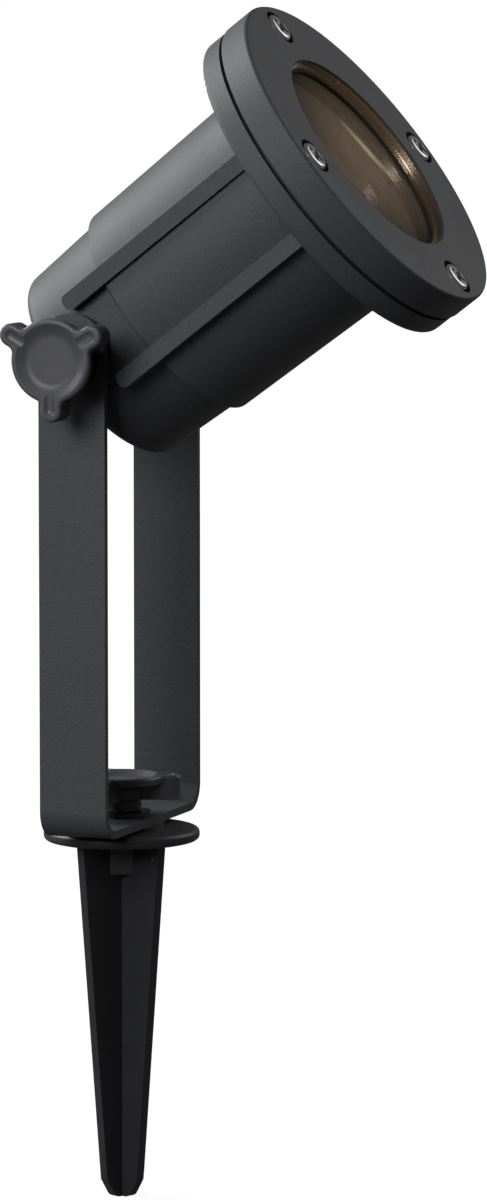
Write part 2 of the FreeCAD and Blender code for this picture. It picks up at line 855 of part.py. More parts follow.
# ---- wiring space -------------------------------------------------------------------
def terminal_places():
    pitch = terminal_length / terminal_ways
    return [(i - (terminal_ways - 1) / 2) * pitch for i in range(terminal_ways)]


def terminal_block():
    half = terminal_length / 2
    side = terminal_width / 2
    outline = [(a, b, terminal_edge) for a, b in ((-half, -side), (half, -side), (half, side), (-half, side))]
    block = rounded_face(outline, in_xy).extrude(V(0, 0, terminal_height))
    cuts = []
    for x in terminal_places():
        start = V(x, -side - 1, terminal_wire_height)
        cuts.append(Part.makeCylinder(terminal_wire_radius, terminal_width + 2, start, Y_AXIS))
        cuts.append(cylinder(terminal_screw_radius + assembly_gap, terminal_screw_seat, terminal_height + 1, (x, 0)))
    block = block.cut(cuts)
    block.translate(V(0, terminal_offset, floor_inside))
    return in_head(block)


def terminal_screws():
    low = floor_inside + terminal_screw_seat
    screws = [cylinder(terminal_screw_radius, low, low + terminal_screw_height, (x, terminal_offset))
              for x in terminal_places()]
    return in_head(Part.makeCompound(screws))


def earth_screw():
    tag_top = floor_inside + earth_pad_height + earth_tag_thickness
    screw = turned([
        (0, tag_top - earth_length, 0),
        (m4_radius, tag_top - earth_length, 0),
        (m4_radius, tag_top, 0),
        (earth_head_radius, tag_top, 0),
        (earth_head_radius, tag_top + earth_head_height, m4_head_edge),
        (0, tag_top + earth_head_height, 0),
    ])
    screw.translate(V(0, -earth_offset, 0))
    return in_head(screw)


def earth_tag():
    low = floor_inside + earth_pad_height
    tag = ring(m4_radius + assembly_gap, earth_tag_radius, low, low + earth_tag_thickness, (0, -earth_offset))
    return in_head(tag)


# ---- cable gland ----------------------------------------------------------------------
def gland_body():
    body = hexagon(gland_flats, gland_hex_low, housing_back)
    body = body.fuse(cylinder(gland_thread_radius, gland_neck_low, gland_thread_top)).removeSplitter()
    seat_radius = gland_bore_radius + gland_seal_wall
    seat = cylinder(seat_radius, gland_neck_low - 1, gland_neck_low + gland_seal_length)
    bore = cylinder(gland_bore_radius, gland_neck_low - 1, gland_thread_top + 1)
    return in_head(body.cut([seat, bore]))


def gland_seal():
    outer = gland_bore_radius + gland_seal_wall - gland_seal_gap
    return in_head(ring(gland_bore_radius, outer, gland_neck_low, gland_neck_low + gland_seal_length))


def gland_cap():
    corner = gland_flats / math.sqrt(3)
    dome = turned([
        (0, gland_cap_low, 0),
        (corner, gland_cap_low, gland_cap_dome),
        (corner, gland_cap_top, 0),
        (0, gland_cap_top, 0),
    ])
    cap = hexagon(gland_flats, gland_cap_low, gland_cap_top).common(dome)
    inside = cylinder(gland_thread_radius + thread_gap, gland_neck_low, gland_cap_top + 1)
    bore = cylinder(gland_bore_radius, gland_cap_low - 1, gland_cap_top + 1)
    return in_head(cap.cut([inside, bore]))


def gland_nut():
    nut = hexagon(gland_nut_flats, floor_inside, floor_inside + gland_nut_height)
    return in_head(nut.cut(cylinder(gland_thread_radius + thread_gap, floor_inside - 1, plate_bottom)))


# ---- leads from the holder to the terminal block ---------------------------------------
def lead(x, way):
    """An insulated lead: down from the holder, then across into its way of the block."""
    height = floor_inside + terminal_wire_height
    start = V(x, lead_setback, plate_top)
    turn = V(x, lead_setback, height)
    end = V(way, terminal_offset - terminal_width / 2 + lead_end, height)
    down = (start - turn).normalize()
    across = (end - turn).normalize()
    centre = turn + (down + across) * lead_bend
    first = turn + down * lead_bend
    last = turn + across * lead_bend
    middle = centre - (down + across).normalize() * lead_bend
    path = Part.Wire([
        Part.LineSegment(start, first).toShape(),
        Part.Arc(first, middle, last).toShape(),
        Part.LineSegment(last, end).toShape(),
    ])
    circle = Part.Wire(Part.makeCircle(lead_radius, start, Z_AXIS))
    return path.makePipeShell([circle], True, False)


def holder_leads():
    ways = terminal_places()
    return in_head(Part.makeCompound([lead(-lead_offset, ways[0]), lead(lead_offset, ways[-1])]))


# ---- every piece, by name ------------------------------------------------------------
pieces = {
    "ground_spike": ground_spike(),
    "spike_bolt": spike_bolt(),
    "u_bracket": u_bracket(),
    "base_washer": base_washer(),
    "base_knob": base_knob(),
    "base_knob_insert": base_knob_insert(),
    "lamp_housing": lamp_housing(),
    "front_bezel": front_bezel(),
    "bezel_screws": bezel_screws(),
    "flange_seal": flange_seal(),
    "glass_rear_ring": glass_rear_ring(),
    "front_glass": front_glass(),
    "glass_front_ring": glass_front_ring(),
    "lamp_reflector": lamp_reflector(),
    "lamp_cover": lamp_cover(),
    "lamp_capsule": lamp_capsule(),
    "lamp_base": lamp_base(),
    "lamp_pins": lamp_pins(),
    "lamp_holder": lamp_holder(),
    "holder_screws": holder_screws(),
    "holder_plate": holder_plate(),
    "plate_screws": plate_screws(),
    "terminal_block": terminal_block(),
    "terminal_screws": terminal_screws(),
    "earth_screw": earth_screw(),
    "earth_tag": earth_tag(),
    "holder_leads": holder_leads(),
    "gland_body": gland_body(),
    "gland_seal": gland_seal(),
    "gland_cap": gland_cap(),
    "gland_nut": gland_nut(),
}
for place, side in (("near", -1), ("far", 1)):
    pieces[place + "_knob"] = tilt_knob(side)
    pieces[place + "_stud"] = tilt_stud(side)
    pieces[place + "_washer"] = tilt_washer(side)
    pieces[place + "_spring_washer"] = spring_washer(side)
    pieces[place + "_spacer"] = spacer(side)
    pieces[place + "_friction_washer"] = friction_washer(side)

os.makedirs("parts", exist_ok=True)
for name, shape in pieces.items():
    if not shape.isValid() or shape.Volume <= 0:
        raise ValueError(name + " is not a sound solid")
    shape.exportStep("parts/" + name + ".step")
    print(name, len(shape.Solids), round(shape.Volume, 1))
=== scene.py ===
"""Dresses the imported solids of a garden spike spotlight: finishes, fine detail, floor, lights and camera."""
import json
import math

import bmesh
import bpy
from bpy.props import FloatProperty, FloatVectorProperty, IntProperty, PointerProperty
from mathutils import Matrix, Vector

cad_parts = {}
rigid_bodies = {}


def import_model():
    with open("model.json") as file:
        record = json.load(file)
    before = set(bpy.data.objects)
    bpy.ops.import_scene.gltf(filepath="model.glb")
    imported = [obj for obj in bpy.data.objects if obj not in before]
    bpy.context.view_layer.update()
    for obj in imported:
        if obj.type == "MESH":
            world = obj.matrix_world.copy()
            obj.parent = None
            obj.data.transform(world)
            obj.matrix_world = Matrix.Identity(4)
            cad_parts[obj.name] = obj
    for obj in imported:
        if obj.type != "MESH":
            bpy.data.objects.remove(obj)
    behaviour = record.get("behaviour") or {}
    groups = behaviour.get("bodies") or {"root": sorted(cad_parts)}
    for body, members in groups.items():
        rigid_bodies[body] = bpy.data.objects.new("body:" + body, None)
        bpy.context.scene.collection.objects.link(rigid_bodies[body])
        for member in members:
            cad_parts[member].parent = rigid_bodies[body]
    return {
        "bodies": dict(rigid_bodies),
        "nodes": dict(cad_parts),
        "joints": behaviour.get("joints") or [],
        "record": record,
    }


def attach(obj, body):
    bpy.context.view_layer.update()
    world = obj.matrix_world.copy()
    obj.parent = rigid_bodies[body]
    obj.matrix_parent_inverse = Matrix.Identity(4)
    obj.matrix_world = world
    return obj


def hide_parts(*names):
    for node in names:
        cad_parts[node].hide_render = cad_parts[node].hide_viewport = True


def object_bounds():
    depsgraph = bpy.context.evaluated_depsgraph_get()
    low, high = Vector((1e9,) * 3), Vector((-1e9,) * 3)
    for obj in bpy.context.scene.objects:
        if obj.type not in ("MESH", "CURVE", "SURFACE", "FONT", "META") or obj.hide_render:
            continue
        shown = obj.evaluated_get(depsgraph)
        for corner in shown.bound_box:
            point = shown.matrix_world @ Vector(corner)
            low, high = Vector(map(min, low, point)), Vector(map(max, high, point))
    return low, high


bl_info = {
    "name": "Garden Spike Spotlight",
    "version": (1, 0, 0),
    "blender": (4, 5, 0),
    "location": "View3D > Sidebar > Spotlight",
    "description": "Dresses the packed solids of a garden spike spotlight",
    "category": "Object",
}

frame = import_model()
CAD_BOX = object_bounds()
RECORD = frame["record"]

MM = 0.001
UP = Vector((0, 0, 1))

# ---- sizes that follow the solids ------------------------------------------------------------
OPENING_RADIUS = 28.05 * MM           # just outside the wall of the front ring's opening
COATED_RIM = 0.7 * MM                 # how far the coat reaches into the opening
BORE_OVERLAP = 0.1 * MM               # how far the bare wall runs on behind the black ring
SCREW_COUNT = 4                       # screws of the front ring
SCREW_FIRST = math.radians(90)        # where the first of them sits, from the head's X axis
SCREW_HEAD_RADIUS = 4.0 * MM
SCREW_HEAD_HEIGHT = 2.9 * MM
SCREW_SHANK_RADIUS = 2.0 * MM
BOWL_WALL = 1.3 * MM
BOWL_COLLAR = 3.2 * MM                # height of the straight edge in front of the bowl
BOWL_NECK = 12.0 * MM                 # outer radius of the bowl's neck
BOWL_LIP = 0.4 * MM                   # how far the straight edge stands out past the bowl
STUD_RADIUS = 2.5 * MM
STUD_HEAD = 2.0 * MM                  # outer end of a stud, hidden in its knob, that the rod leaves out
BLADE_COUNT = 4
BLADE_HALF = 1.2 * MM                 # half the thickness of a blade
BLADE_TURN = math.radians(-24.2)      # turn of the blades about the spike's axis

# ---- sizes of the fine detail ----------------------------------------------------------------
SMOOTH_ANGLE = 35.0                   # edges up to this many degrees are shaded smooth
FACET_ANGLE = 4.0                     # the same for the bowl, whose facets stay flat
CUT_MARGIN = 0.2 * MM                 # how far a cutting tool stands out of what it cuts
CROSS_TAPER = 0.6                     # size of the cross at its bottom, as a share of its top
BOWL_OUTER_ROWS = 6                   # rows of faces on the bowl's outside
MARK_CHAMFER = (0.8, 0.6)             # an ejector mark's radius at its top, and its edge's height, as shares
MERGE_GAP = 0.000002                  # corners closer than this are joined


# ---- places taken from the frame -------------------------------------------------------------
def mount_named(name):
    """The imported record's mount of that name."""
    return next(m for m in RECORD["mounts"] if m["name"] == name)


def joint_named(name):
    """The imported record's joint of that name."""
    return next(j for j in RECORD["behaviour"]["joints"] if j["name"] == name)


PIVOT = Vector(joint_named("head_tilt")["pos_m"])
AIM = -Vector(mount_named("cable_entry")["axis"])
HEAD = Matrix.Translation(PIVOT) @ UP.rotation_difference(AIM).to_matrix().to_4x4()
"""From the head's own frame, where Z is the way the light points, to the row's frame."""


def side_frame(side):
    """A frame on the tilt axis whose Z points out of the lamp: side is -1 for near, 1 for far."""
    return Matrix.Translation(PIVOT) @ Matrix.Rotation(math.radians(-90 * side), 4, "X")


def extent(node, place):
    """Lowest height, highest height and greatest radius of a CAD node about the Z of a frame."""
    inverse = place.inverted()
    points = [inverse @ v.co for v in frame["nodes"][node].data.vertices]
    heights = [p.z for p in points]
    return min(heights), max(heights), max(math.hypot(p.x, p.y) for p in points)


# ---- node graphs as sums ---------------------------------------------------------------------
class Socket:
    """An output socket. A sum on it adds the Math node that it stands for."""

    def __init__(self, graph, socket):
        self.graph = graph
        self.socket = socket

    def math(self, operation, first, second=0.0):
        """A Math node on numbers or sockets."""
        return self.graph.out("ShaderNodeMath", {0: first, 1: second}, operation=operation)

    def __add__(self, other):
        return self.math("ADD", self, other)

    def __radd__(self, other):
        return self.math("ADD", other, self)

    def __sub__(self, other):
        return self.math("SUBTRACT", self, other)

    def __rsub__(self, other):
        return self.math("SUBTRACT", other, self)

    def __mul__(self, other):
        return self.math("MULTIPLY", self, other)

    def __rmul__(self, other):
        return self.math("MULTIPLY", other, self)

    def __truediv__(self, other):
        return self.math("DIVIDE", self, other)

    def __rtruediv__(self, other):
        return self.math("DIVIDE", other, self)

    def cosine(self):
        """The cosine of an angle in radians."""
        return self.math("COSINE", self)

    def sine(self):
        """The sine of an angle in radians."""
        return self.math("SINE", self)

    def over(self, edge):
        """1 where the value is above edge, and 0 elsewhere."""
        return self.math("GREATER_THAN", self, edge)

    def clamped(self):
        """The value, held between 0 and 1."""
        return self.graph.out("ShaderNodeClamp", {0: self})


class Graph:
    """Adds nodes to a shader or geometry tree."""

    def __init__(self, tree):
        self.tree = tree

    def node(self, kind, inputs=None, **settings):
        """A new node: its settings first, then the values or links of its sockets."""
        made = self.tree.nodes.new(kind)
        for key, value in settings.items():
            setattr(made, key, value)
        for key, value in (inputs or {}).items():
            if isinstance(value, Socket):
                self.tree.links.new(value.socket, made.inputs[key])
            else:
                made.inputs[key].default_value = value
        return made

    def out(self, kind, inputs=None, output=0, **settings):
        """The same, giving one of the node's outputs."""
        return Socket(self, self.node(kind, inputs, **settings).outputs[output])


MIX_LOW = 6
MIX_HIGH = 7
MIX_RESULT = 2
"""Where the Mix node keeps the sockets of its two colours and of their mix."""


def opaque(colour):
    """A colour that covers fully."""
    return (*colour, 1.0)


class Surface(Graph):
    """A material and its shader graph."""

    def __init__(self, name):
        self.material = bpy.data.materials.new(name)
        self.material.use_nodes = True
        super().__init__(self.material.node_tree)
        self.tree.nodes.clear()
        self.output = self.node("ShaderNodeOutputMaterial")

    def place(self):
        """Object coordinates, in metres."""
        return self.out("ShaderNodeTexCoord", output="Object")

    def grain(self, size, detail=2.0):
        """Noise from 0 to 1 whose blobs are about size across, in metres."""
        return self.out("ShaderNodeTexNoise", {"Vector": self.place(), "Scale": 1 / size, "Detail": detail})

    def mix(self, share, low, high):
        """A colour between two colours, of which the first may be a socket."""
        first = low if isinstance(low, Socket) else opaque(low)
        sockets = {"Factor": share, MIX_LOW: first, MIX_HIGH: opaque(high)}
        return self.out("ShaderNodeMix", sockets, MIX_RESULT, data_type="RGBA")

    def moved(self, vector, centre, turn, reach=(1.0, 1.0, 1.0)):
        """A vector as it reads in a frame with that centre, turn and length of its axes."""
        sockets = {"Vector": vector, "Location": centre, "Rotation": turn, "Scale": reach}
        return self.out("ShaderNodeMapping", sockets, vector_type="TEXTURE")

    def head_place(self):
        """Object coordinates in the head's own frame, in metres."""
        return self.moved(self.place(), HEAD.translation, HEAD.to_euler())

    def spot(self, centre, reach, turn=0.0):
        """1 at a point of the head's frame, falling to 0 at its reach along each axis, turned about Z."""
        around = self.moved(self.head_place(), centre, (0, 0, math.radians(turn)), reach)
        return self.out("ShaderNodeTexGradient", {"Vector": around}, 1, gradient_type="SPHERICAL")

    def bump(self, height, depth):
        """A normal pushed about by height, depth metres deep."""
        return self.out("ShaderNodeBump", {"Height": height, "Distance": depth, "Strength": 1.0})

    def finish(self, shader):
        """Joins a shader to the output and gives the material."""
        self.tree.links.new(shader.outputs[0], self.output.inputs["Surface"])
        return self.material

    def principled(self, inputs):
        """A Principled shader as the whole surface."""
        return self.finish(self.node("ShaderNodeBsdfPrincipled", inputs))


# ---- sizes and colours that a user would change ----------------------------------------------
def colour_value(name, text, value):
    """A colour."""
    return FloatVectorProperty(
        name=name, description=text, default=value, subtype="COLOR", size=3, min=0, max=1,
    )


def share_value(name, text, value):
    """A share between 0 and 1."""
    return FloatProperty(name=name, description=text, default=value, subtype="FACTOR", min=0, max=1)


def length_value(name, text, low, high, value):
    """A length between two others, all three given in millimetres."""
    return FloatProperty(
        name=name, description=text, default=value * MM, unit="LENGTH", min=low * MM, max=high * MM,
    )


def place_value(name, text, value):
    """A place, in metres."""
    return FloatVectorProperty(name=name, description=text, default=value, subtype="TRANSLATION", size=3)


def angle_value(name, text, value):
    """An angle, given in degrees."""
    return FloatProperty(name=name, description=text, default=math.radians(value), subtype="ANGLE")


def power_value(name, text, value):
    """A light's power, in watts."""
    return FloatProperty(name=name, description=text, default=value, unit="POWER")


class SpotlightFinish(bpy.types.PropertyGroup):
    """Colours and textures of the coated, moulded, metal and glass pieces"""
    coat_colour: colour_value("Coat colour", "Powder coat of head and strap", (0.0545, 0.057, 0.0635))
    coat_light: colour_value("Coat sparkle", "Lighter specks of the powder coat", (0.07, 0.0725, 0.081))
    coat_roughness: share_value("Coat roughness", "Gloss of the powder coat", 0.55)
    coat_shine: share_value("Coat shine", "Strength of the powder coat's reflections", 0.3)
    coat_grain: length_value("Coat grain", "Width of the powder coat's texture", 0.1, 3, 0.7)
    coat_depth: length_value("Coat depth", "Height of the powder coat's texture", 0, 0.5, 0.06)
    plastic_colour: colour_value("Plastic colour", "Moulded spike and knobs", (0.03, 0.0305, 0.034))
    plastic_roughness: share_value("Plastic roughness", "Gloss of the moulded plastic", 0.4)
    plastic_shine: share_value("Plastic shine", "Strength of the plastic's reflections", 0.35)
    bore_colour: colour_value("Bore colour", "Wall of the front ring's opening", (0.5, 0.4, 0.31))
    steel_colour: colour_value("Steel colour", "Stainless fasteners", (0.5, 0.5, 0.51))
    glow_colour: colour_value("Glow colour", "Light of the lamp's capsule", (1.0, 0.6, 0.3))
    glow: FloatProperty(
        name="Glow", description="Strength of the capsule's light", default=3.0, min=0, max=100,
    )
    # Painted light on the front glass: colours of its painted warm glow and of its painted streak of
    # highlight.
    painted_glow_edge: colour_value("Haze, edge", "Warm light on the front glass, at its edge", (0.035, 0.029, 0.02))
    painted_glow_middle: colour_value(
        "Haze, middle", "Warm light on the front glass, in the middle", (0.29, 0.2, 0.13),
    )
    painted_streak_highlight: colour_value("Haze, streak", "Brightest line of light on the front glass", (1.0, 0.85, 0.6))
    haze_cover: share_value("Haze cover", "Share of the front glass that shows", 0.3)
    mirror_colour: colour_value("Mirror colour", "Warm coating of the lamp's bowl", (0.27, 0.18, 0.1))


class SpotlightScrews(bpy.types.PropertyGroup):
    """Cross-head screws of the front ring, and the thread of the tilt knobs' studs"""
    crown: length_value("Crown", "Rounding of the head's upper edge", 0.3, 2.8, 1.2)
    recess_reach: length_value("Recess reach", "Cross recess, middle to tip", 1, 3, 2.7)
    recess_width: length_value("Recess width", "Width of an arm of the cross", 0.3, 2, 1.4)
    recess_depth: length_value("Recess depth", "Depth of the cross", 0.5, 2.4, 2.2)
    recess_turn: angle_value("Recess turn", "Turn of the cross", 35.0)
    thread_pitch: length_value("Thread pitch", "M5 coarse pitch of the knobs' studs", 0.4, 2, 0.8)
    thread_depth: length_value("Thread depth", "Depth of the M5 thread", 0.1, 1, 0.45)


class SpotlightLamp(bpy.types.PropertyGroup):
    """Faceted bowl of the lamp"""
    facet_columns: IntProperty(
        name="Facet columns", description="Facets round the bowl", default=30, min=8, max=64,
    )
    facet_rows: IntProperty(
        name="Facet rows", description="Facets from neck to rim", default=8, min=3, max=16,
    )
    facet_swell: length_value("Facet swell", "How far a facet's middle stands in", 0, 0.5, 0.18)


class SpotlightMoulding(bpy.types.PropertyGroup):
    """Marks that the mould leaves on the spike and the housing"""
    mark_radius: length_value("Ejector mark radius", "Round mark on each blade", 0.5, 3, 1.25)
    mark_height: length_value("Ejector mark height", "How far a mark stands out", 0, 1, 0.3)
    mark_drop: length_value("Ejector mark drop", "From the flange down to the mark", 0, 50, 4.1)
    mark_reach: length_value("Ejector mark reach", "From the spike's axis out to the mark", 0, 50, 11.9)
    bead_radius: length_value("Bead radius", "Bead at the front end of the near lower rib", 0.2, 2, 0.65)
    bead_place: place_value(
        "Bead place", "Place of the bead in the head's own frame", (0.0132, -0.0303, 0.0674),
    )


class SpotlightStudio(bpy.types.PropertyGroup):
    """Camera, lights and floor"""
    azimuth: angle_value("Camera azimuth", "Turned from the near side towards the front", 20.8)
    pitch: angle_value("Camera pitch", "Angle below the horizon at which it looks", 6.26)
    distance: FloatProperty(
        name="Camera distance", description="From the camera to what it looks at",
        default=1.385, unit="LENGTH",
    )
    target: place_value("Camera target", "Point in the middle of the picture", (0.03305, 0.0, 0.06225))
    lens: FloatProperty(
        name="Lens", description="Focal length for a 36 mm high picture",
        default=165.9, subtype="DISTANCE_CAMERA",
    )
    left_strength: power_value("Left light", "Softbox at the left of the object", 22.0)
    front_strength: power_value("Front light", "Softbox at the left of the camera", 13.0)
    right_strength: power_value("Right light", "Weak softbox behind the right", 5.0)
    sky_strength: FloatProperty(
        name="Sky", description="Even light of the room", default=0.015, min=0, max=4,
    )
    sky_mirror: share_value("Sky in mirrors", "How white the room looks in shiny surfaces", 0.12)
    floor_mirror: share_value("Floor in mirrors", "How white the floor looks in shiny surfaces", 0.1)
    floor_colour: colour_value("Floor colour", "Plain pale floor", (0.04, 0.04, 0.04))
    floor_glow: share_value("Floor glow", "Share of the floor that the camera sees as plain white", 0.86)
    floor_reach: length_value("Floor reach", "Distance at which the floor turns plain white", 50, 10000, 800)


# ---- finishes --------------------------------------------------------------------------------
COAT_CLOUD = 30             # width of the coat's broad unevenness, in grains
BORE_POLISH = 0.33          # how much less rough the bare wall is than the coat
SPIKE_SHADE = 0.8           # the spike's colour, as a share of the plastic's
KNOB_SHADE = 2.4            # the knobs' colour, as a share of the plastic's
# Places and sizes of the painted glow and the painted streak of highlight on the front glass, in the head's
# frame
PAINTED_GLOW_CENTRE = (-0.001, 0.006)
PAINTED_GLOW_REACH = (0.026, 0.026)
PAINTED_STREAK_CENTRE = (-0.003, 0.0137)
PAINTED_STREAK_REACH = (0.0115, 0.0025)
PAINTED_STREAK_TURN = 21.7
LIT_DEPTH = 0.003           # less than the glass's thickness, so that its rear face stays plain, without the painted glow and highlight


def shaded(colour, share):
    """A colour made darker or paler."""
    return [min(1.0, c * share) for c in colour]


def uneven(level, noise, swing):
    """A level that noise from 0 to 1 moves up and down, by swing in all."""
    return level + (noise - 0.5) * swing


def powder_coat(name, finish, bare):
    """Fine-textured dark grey powder coat. The function bare gives 1 where it is machined away."""
    s = Surface(name)
    cut = bare(s)
    pebbles = s.grain(finish.coat_grain, detail=3.0)
    cloud = s.grain(finish.coat_grain * COAT_CLOUD)
    specks = uneven(0.3, pebbles, swing=2.2).clamped()
    coat = s.mix(specks, finish.coat_colour, finish.coat_light)
    return s.principled({
        "Base Color": s.mix(cut, coat, finish.bore_colour),
        "Metallic": cut,
        "Roughness": uneven(finish.coat_roughness, cloud, swing=0.12) - cut * BORE_POLISH,
        "Specular IOR Level": finish.coat_shine,
        "Normal": s.bump(pebbles * (1.0 - cut), finish.coat_depth),
    })


def front_bore(surface):
    """1 on the inner part of the wall of the front ring's opening, and 0 elsewhere."""
    parts = surface.node("ShaderNodeSeparateXYZ", {"Vector": surface.head_place()})
    x, y, z = (Socket(surface, parts.outputs[i]) for i in range(3))
    inner = extent("glass_front_ring", HEAD)[1] - BORE_OVERLAP
    outer = extent("front_bezel", HEAD)[1] - COATED_RIM
    return (OPENING_RADIUS ** 2 - x * x - y * y).over(0.0) * z.over(inner) * (outer - z).over(0.0)


def nowhere(surface):
    """No bare metal."""
    return 0.0


def moulded_plastic(name, colour, roughness, shine):
    """Moulded plastic with a soft, slightly uneven gloss."""
    s = Surface(name)
    flow = s.grain(size=0.009)
    fine = s.grain(size=0.0008)
    return s.principled({
        "Base Color": s.mix(flow, colour, shaded(colour, 1.25)),
        "Roughness": uneven(roughness, flow, swing=0.16),
        "Specular IOR Level": shine,
        "Normal": s.bump(fine, depth=0.00002),
    })


def bright_metal(name, colour, roughness):
    """Bare or plated metal with a faint turned grain."""
    s = Surface(name)
    wear = s.grain(size=0.0015)
    return s.principled({
        "Base Color": opaque(colour),
        "Metallic": 1.0,
        "Roughness": uneven(roughness, wear, swing=0.12),
    })


def soft_rubber(name, colour):
    """Matt seal rubber."""
    s = Surface(name)
    dust = s.grain(size=0.002)
    dusty = [c + 0.012 for c in colour]
    return s.principled({
        "Base Color": s.mix(dust, colour, dusty),
        "Roughness": 0.8,
        "Normal": s.bump(dust, depth=0.00001),
    })


def front_glass(name, finish):
    """Clear glass, seen through, with the bowl's warm light painted on it as a faint glow and a streak of
    painted highlight.
    """
    s = Surface(name)
    face = extent("front_glass", HEAD)[1]
    # Painted light: a warm glow and a streak of highlight are painted on the glass as emission, standing in
    # for the lit bowl behind it.
    glow_mottle = 0.8 + s.grain(size=0.0025)
    painted_glow = s.spot((*PAINTED_GLOW_CENTRE, face), (*PAINTED_GLOW_REACH, LIT_DEPTH)) * glow_mottle
    painted_streak = s.spot((*PAINTED_STREAK_CENTRE, face), (*PAINTED_STREAK_REACH, LIT_DEPTH), PAINTED_STREAK_TURN)
    warm = s.mix(painted_glow.clamped(), finish.painted_glow_edge, finish.painted_glow_middle)
    return s.principled({
        "Base Color": (0.02, 0.018, 0.015, 1.0),
        "Roughness": 0.04,
        "IOR": 1.5,
        "Alpha": finish.haze_cover,
        "Emission Color": s.mix(painted_streak, warm, finish.painted_streak_highlight),
        "Emission Strength": 1.0,
    })


def glowing_quartz(name, colour, finish):
    """Quartz of the lamp's capsule, faintly lit from within."""
    s = Surface(name)
    return s.principled({
        "Base Color": opaque(colour),
        "Roughness": 0.08,
        "Emission Color": opaque(finish.glow_colour),
        "Emission Strength": finish.glow,
    })


def mirror_coating(name, colour):
    """Warm mirror inside the lamp's bowl."""
    s = Surface(name)
    film = s.grain(size=0.006)
    return s.principled({
        "Base Color": s.mix(film, shaded(colour, 0.82), colour),
        "Metallic": 1.0,
        "Roughness": 0.24 + film * 0.1,
    })


def matt_ceramic(name, colour):
    """Unglazed steatite with fine speckles."""
    s = Surface(name)
    speck = s.grain(size=0.0009, detail=1.0)
    return s.principled({
        "Base Color": s.mix(speck, shaded(colour, 0.9), colour),
        "Roughness": 0.62,
        "Normal": s.bump(speck, depth=0.00002),
    })


def finishes(finish):
    """One material for each of the record's slots."""
    plastic = tuple(finish.plastic_colour)
    spike = shaded(plastic, SPIKE_SHADE)
    knobs = shaded(plastic, KNOB_SHADE)
    roughness = finish.plastic_roughness
    shine = finish.plastic_shine
    return {
        "cast_coating": powder_coat("Coat on casting", finish, front_bore),
        "strap_coating": powder_coat("Coat on strap", finish, nowhere),
        "spike_plastic": moulded_plastic("Spike plastic", spike, roughness, shine),
        "knob_plastic": moulded_plastic("Knob plastic", knobs, roughness, shine),
        "spacer_plastic": moulded_plastic("Spacer plastic", plastic, 0.5, shine),
        "stainless": bright_metal("Stainless steel", tuple(finish.steel_colour), 0.22),
        "black_steel": bright_metal("Black zinc", (0.05, 0.05, 0.052), 0.4),
        "brass": bright_metal("Brass", (0.62, 0.45, 0.19), 0.3),
        "plated_steel": bright_metal("Zinc plate", (0.58, 0.6, 0.62), 0.36),
        "plated_pins": bright_metal("Nickel plate", (0.66, 0.62, 0.56), 0.22),
        "seal_rubber": soft_rubber("Seal rubber", (0.012, 0.012, 0.012)),
        "clear_glass": front_glass("Front glass", finish),
        "capsule_glass": glowing_quartz("Quartz glass", (0.6, 0.58, 0.54), finish),
        "reflector_coating": mirror_coating("Lamp mirror", tuple(finish.mirror_colour)),
        "lamp_ceramic": matt_ceramic("Lamp ceramic", (0.78, 0.75, 0.68)),
        "gland_nylon": moulded_plastic("Gland nylon", plastic, 0.5, shine),
        "terminal_nylon": moulded_plastic("Terminal nylon", (0.62, 0.62, 0.58), 0.4, 0.5),
        "lead_sleeve": soft_rubber("Lead sleeve", (0.66, 0.64, 0.58)),
    }


def finish_named(slot):
    """The material of a slot, made by the finishes operator."""
    return bpy.data.materials[frame["slot_materials"][slot]]


# ---- meshes ----------------------------------------------------------------------------------
def lathe(profile, steps=48):
    """A closed bmesh turned about Z from (radius, height) points that start and end on the axis."""
    bm = bmesh.new()
    rings = []
    for radius, height in profile:
        if radius == 0:
            rings.append([bm.verts.new((0, 0, height))])
            continue
        turns = [2 * math.pi * i / steps for i in range(steps)]
        rings.append([bm.verts.new((radius * math.cos(t), radius * math.sin(t), height)) for t in turns])
    for low, high in zip(rings, rings[1:]):
        for i in range(steps):
            j = i + 1
            corners = [low[i % len(low)], low[j % len(low)], high[j % len(high)], high[i % len(high)]]
            corners = list(dict.fromkeys(corners))
            if len(corners) > 2:
                bm.faces.new(corners)
    bmesh.ops.recalc_face_normals(bm, faces=bm.faces)
    return bm


def arc_points(centre, radius, start, end, steps):
    """Points on an arc in the (radius, height) plane; angles in degrees."""
    turns = [math.radians(start + (end - start) * i / steps) for i in range(steps + 1)]
    return [(centre[0] + radius * math.cos(t), centre[1] + radius * math.sin(t)) for t in turns]


def linked(name, data):
    """A new object in the scene."""
    made = bpy.data.objects.new(name, data)
    bpy.context.scene.collection.objects.link(made)
    return made


def shade(mesh, smooth_angle=SMOOTH_ANGLE):
    """Smooth shading with sharp edges above an angle in degrees."""
    mesh.shade_smooth()
    mesh.set_sharp_from_angle(angle=math.radians(smooth_angle))


def object_from(bm, name, smooth_angle=SMOOTH_ANGLE):
    """A new object from a bmesh, smooth but for edges sharper than the angle."""
    mesh = bpy.data.meshes.new(name)
    bm.to_mesh(mesh)
    bm.free()
    made = linked(name, mesh)
    shade(mesh, smooth_angle)
    return made


def settle(piece):
    """Turns an object's modifiers into plain mesh."""
    graph = bpy.context.evaluated_depsgraph_get()
    mesh = bpy.data.meshes.new_from_object(piece.evaluated_get(graph))
    piece.modifiers.clear()
    piece.data = mesh


def carve(piece, tool):
    """Cuts one object out of another and removes the tool."""
    cut = piece.modifiers.new("carve", "BOOLEAN")
    cut.object = tool
    cut.solver = "EXACT"
    settle(piece)
    bpy.data.objects.remove(tool)


def seat(piece, place, body, slot, *nodes):
    """Puts a finished piece in the row's frame and hands it to its body, in place of some CAD nodes."""
    piece.data.transform(place)
    piece.data.update()
    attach(piece, body)
    if nodes:
        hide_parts(*nodes)


